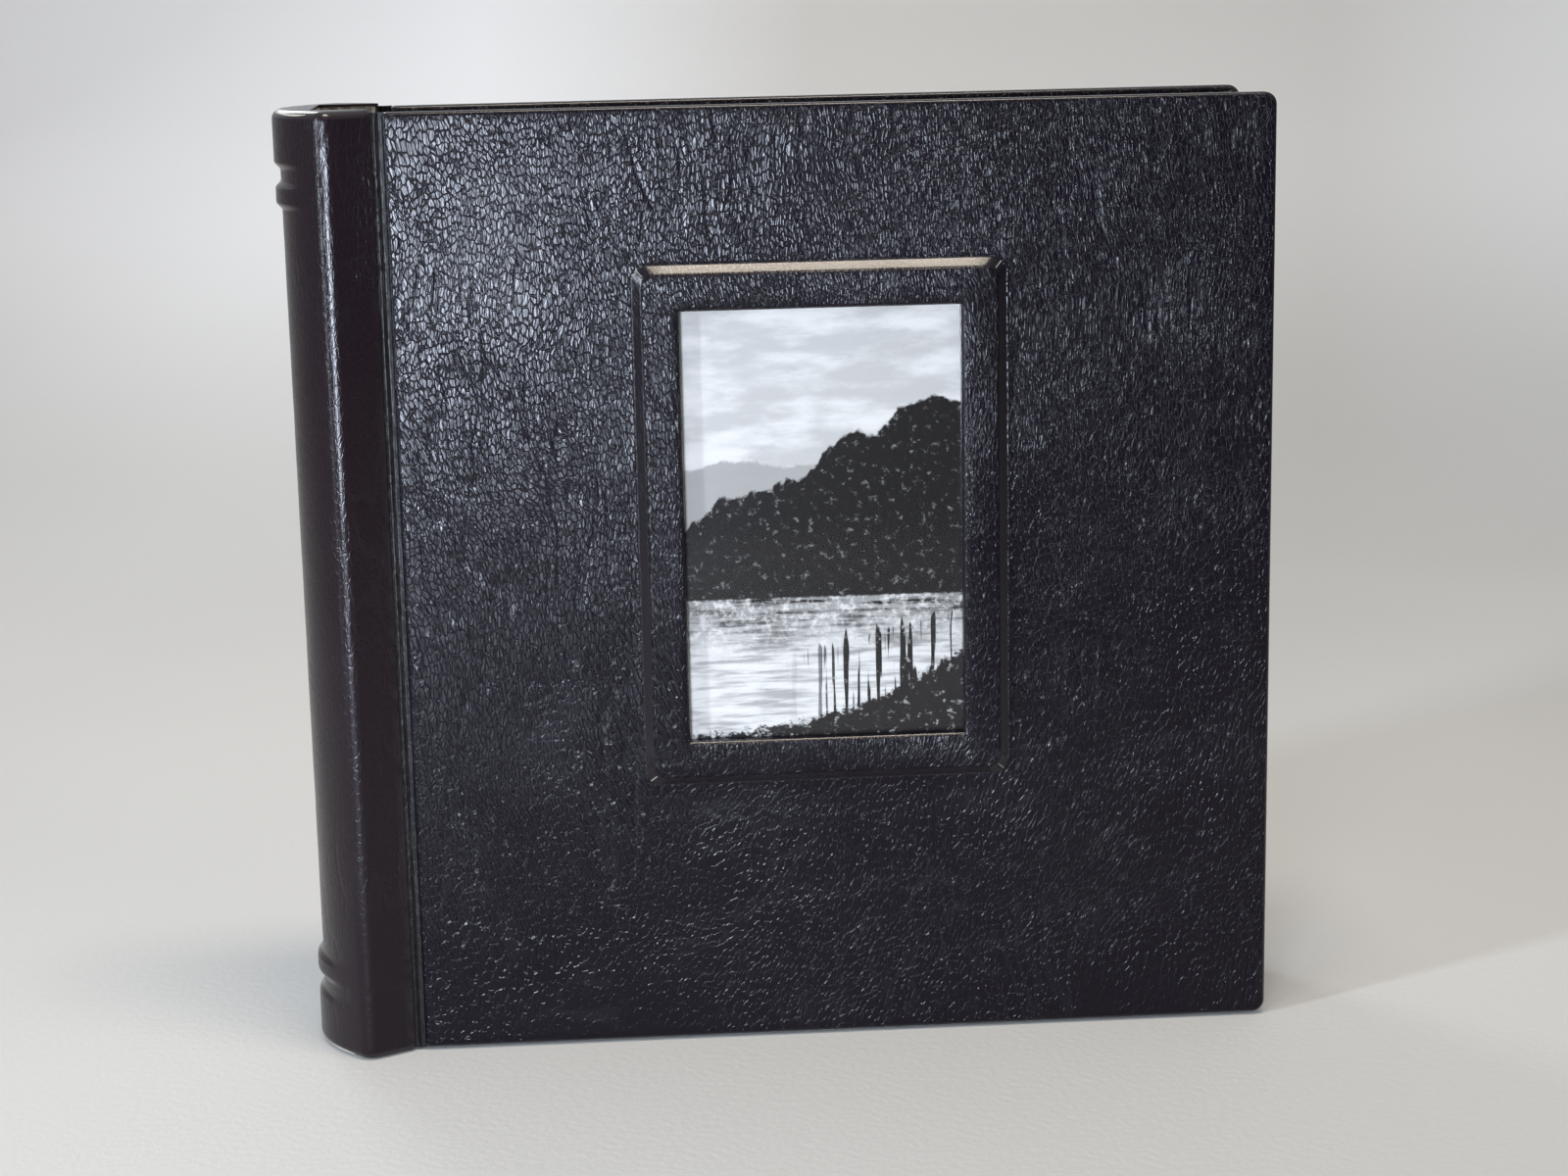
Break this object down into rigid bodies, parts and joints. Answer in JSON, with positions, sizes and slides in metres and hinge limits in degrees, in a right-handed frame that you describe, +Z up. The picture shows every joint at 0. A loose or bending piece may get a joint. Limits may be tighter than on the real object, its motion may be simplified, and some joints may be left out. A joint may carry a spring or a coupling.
{
  "type": "photo album",
  "caption": "Leather photo album standing on its tail, with a picture window in the front cover, a rounded spine with raised bands and hinged covers over stiff card leaves.",
  "frame": {"origin": "bottom centre of the whole album's bounding box, on the surface that it stands on", "axes": "+Z up along the spine, +X from the spine to the covers' fore-edges, the front cover faces -Y"},
  "size_m": [0.3192, 0.0662, 0.31],
  "materials": {
    "cover_leather": "near-black grained leather with a soft sheen",
    "spine_leather": "near-black warm-toned grained leather, satin",
    "joint_leather": "thin black leather, dull",
    "grey_board": "dense grey board",
    "lining_card": "thin buff card",
    "end_paper": "brown leather-patterned end paper",
    "clear_sheet": "clear gloss sheet",
    "photo_print": "semi-gloss photographic paper",
    "leaf_card": "cream album card",
    "spacer_card": "cream spacer card",
    "lining_cloth": "open-weave lining cloth",
    "tissue": "translucent interleaving tissue"
  },
  "bodies": {
    "spine_case": {"spine_core": "grey_board", "spine_leather": "spine_leather", "head_cap_band": "lining_card", "head_band": "lining_card", "tail_band": "lining_card", "tail_cap_band": "lining_card", "front_joint_leather": "joint_leather", "back_joint_leather": "joint_leather", "leaf_stubs": "leaf_card", "leaf_spacers": "spacer_card", "spine_lining": "lining_cloth"},
    "front_cover": {"front_board": "grey_board", "front_cover_leather": "cover_leather", "front_infill_card": "lining_card", "front_pastedown": "end_paper", "window_border_board": "grey_board", "window_glazing": "clear_sheet", "cover_print": "photo_print", "print_backing_card": "lining_card"},
    "back_cover": {"back_board": "grey_board", "back_cover_leather": "cover_leather", "back_infill_card": "lining_card", "back_pastedown": "end_paper"},
    "front_endleaf": {"front_flyleaf": "end_paper"},
    "back_endleaf": {"back_flyleaf": "end_paper"},
    "turning_leaf_01": {"leaf_01": "leaf_card", "tissue_01": "tissue"},
    "turning_leaf_02": {"leaf_02": "leaf_card", "tissue_02": "tissue"},
    "turning_leaf_03": {"leaf_03": "leaf_card", "tissue_03": "tissue"},
    "turning_leaf_04": {"leaf_04": "leaf_card", "tissue_04": "tissue"},
    "turning_leaf_05": {"leaf_05": "leaf_card", "tissue_05": "tissue"},
    "turning_leaf_06": {"leaf_06": "leaf_card", "tissue_06": "tissue"},
    "turning_leaf_07": {"leaf_07": "leaf_card", "tissue_07": "tissue"},
    "turning_leaf_08": {"leaf_08": "leaf_card", "tissue_08": "tissue"},
    "turning_leaf_09": {"leaf_09": "leaf_card", "tissue_09": "tissue"},
    "turning_leaf_10": {"leaf_10": "leaf_card", "tissue_10": "tissue"},
    "turning_leaf_11": {"leaf_11": "leaf_card", "tissue_11": "tissue"},
    "turning_leaf_12": {"leaf_12": "leaf_card", "tissue_12": "tissue"}
  },
  "joints": [
    {"name": "front_cover_hinge", "type": "hinge", "parent": "spine_case", "child": "front_cover", "pos_m": [-0.12515, -0.02564, 0], "axis": [0, 0, -1], "range_deg": [0, 148]},
    {"name": "back_cover_hinge", "type": "hinge", "parent": "spine_case", "child": "back_cover", "pos_m": [-0.12515, 0.02226, 0], "axis": [0, 0, 1], "range_deg": [-2.2, 145]},
    {"name": "front_flyleaf_fold", "type": "hinge", "parent": "spine_case", "child": "front_endleaf", "pos_m": [-0.1226, -0.01979, 0], "axis": [0, 0, -1], "range_deg": [0, 74.5]},
    {"name": "leaf_01_fold", "type": "hinge", "parent": "spine_case", "child": "turning_leaf_01", "pos_m": [-0.1226, -0.01764, 0], "axis": [0, 0, -1], "range_deg": [0, 59.7]},
    {"name": "leaf_02_fold", "type": "hinge", "parent": "spine_case", "child": "turning_leaf_02", "pos_m": [-0.1226, -0.01474, 0], "axis": [0, 0, -1], "range_deg": [0, 49.8]},
    {"name": "leaf_03_fold", "type": "hinge", "parent": "spine_case", "child": "turning_leaf_03", "pos_m": [-0.1226, -0.01184, 0], "axis": [0, 0, -1], "range_deg": [0, 40]},
    {"name": "leaf_04_fold", "type": "hinge", "parent": "spine_case", "child": "turning_leaf_04", "pos_m": [-0.1226, -0.00894, 0], "axis": [0, 0, -1], "range_deg": [0, 30.1]},
    {"name": "leaf_05_fold", "type": "hinge", "parent": "spine_case", "child": "turning_leaf_05", "pos_m": [-0.1226, -0.00604, 0], "axis": [0, 0, -1], "range_deg": [0, 20.2]},
    {"name": "leaf_06_fold", "type": "hinge", "parent": "spine_case", "child": "turning_leaf_06", "pos_m": [-0.1226, -0.00314, 0], "axis": [0, 0, -1], "range_deg": [0, 10.4]},
    {"name": "leaf_07_fold", "type": "hinge", "parent": "spine_case", "child": "turning_leaf_07", "pos_m": [-0.1226, -0.00024, 0], "axis": [0, 0, 1], "range_deg": [-0.25, 10.2]},
    {"name": "leaf_08_fold", "type": "hinge", "parent": "spine_case", "child": "turning_leaf_08", "pos_m": [-0.1226, 0.00266, 0], "axis": [0, 0, 1], "range_deg": [-0.39, 19.8]},
    {"name": "leaf_09_fold", "type": "hinge", "parent": "spine_case", "child": "turning_leaf_09", "pos_m": [-0.1226, 0.00556, 0], "axis": [0, 0, 1], "range_deg": [-0.54, 29.5]},
    {"name": "leaf_10_fold", "type": "hinge", "parent": "spine_case", "child": "turning_leaf_10", "pos_m": [-0.1226, 0.00846, 0], "axis": [0, 0, 1], "range_deg": [-0.69, 39.2]},
    {"name": "leaf_11_fold", "type": "hinge", "parent": "spine_case", "child": "turning_leaf_11", "pos_m": [-0.1226, 0.01136, 0], "axis": [0, 0, 1], "range_deg": [-0.83, 48.8]},
    {"name": "leaf_12_fold", "type": "hinge", "parent": "spine_case", "child": "turning_leaf_12", "pos_m": [-0.1226, 0.01426, 0], "axis": [0, 0, 1], "range_deg": [-0.98, 58.5]},
    {"name": "back_flyleaf_fold", "type": "hinge", "parent": "spine_case", "child": "back_endleaf", "pos_m": [-0.1226, 0.01641, 0], "axis": [0, 0, 1], "range_deg": [-1.2, 73]}
  ],
  "couplings": [
    {"joint": "front_flyleaf_fold", "follows": "front_cover_hinge", "ratio": 0.5},
    {"joint": "leaf_01_fold", "follows": "front_cover_hinge", "ratio": 0.4},
    {"joint": "leaf_02_fold", "follows": "front_cover_hinge", "ratio": 0.33333},
    {"joint": "leaf_03_fold", "follows": "front_cover_hinge", "ratio": 0.26667},
    {"joint": "leaf_04_fold", "follows": "front_cover_hinge", "ratio": 0.2},
    {"joint": "leaf_05_fold", "follows": "front_cover_hinge", "ratio": 0.13333},
    {"joint": "leaf_06_fold", "follows": "front_cover_hinge", "ratio": 0.066667},
    {"joint": "leaf_07_fold", "follows": "back_cover_hinge", "ratio": 0.066667},
    {"joint": "leaf_08_fold", "follows": "back_cover_hinge", "ratio": 0.13333},
    {"joint": "leaf_09_fold", "follows": "back_cover_hinge", "ratio": 0.2},
    {"joint": "leaf_10_fold", "follows": "back_cover_hinge", "ratio": 0.26667},
    {"joint": "leaf_11_fold", "follows": "back_cover_hinge", "ratio": 0.33333},
    {"joint": "leaf_12_fold", "follows": "back_cover_hinge", "ratio": 0.4},
    {"joint": "back_flyleaf_fold", "follows": "back_cover_hinge", "ratio": 0.5}
  ]
}
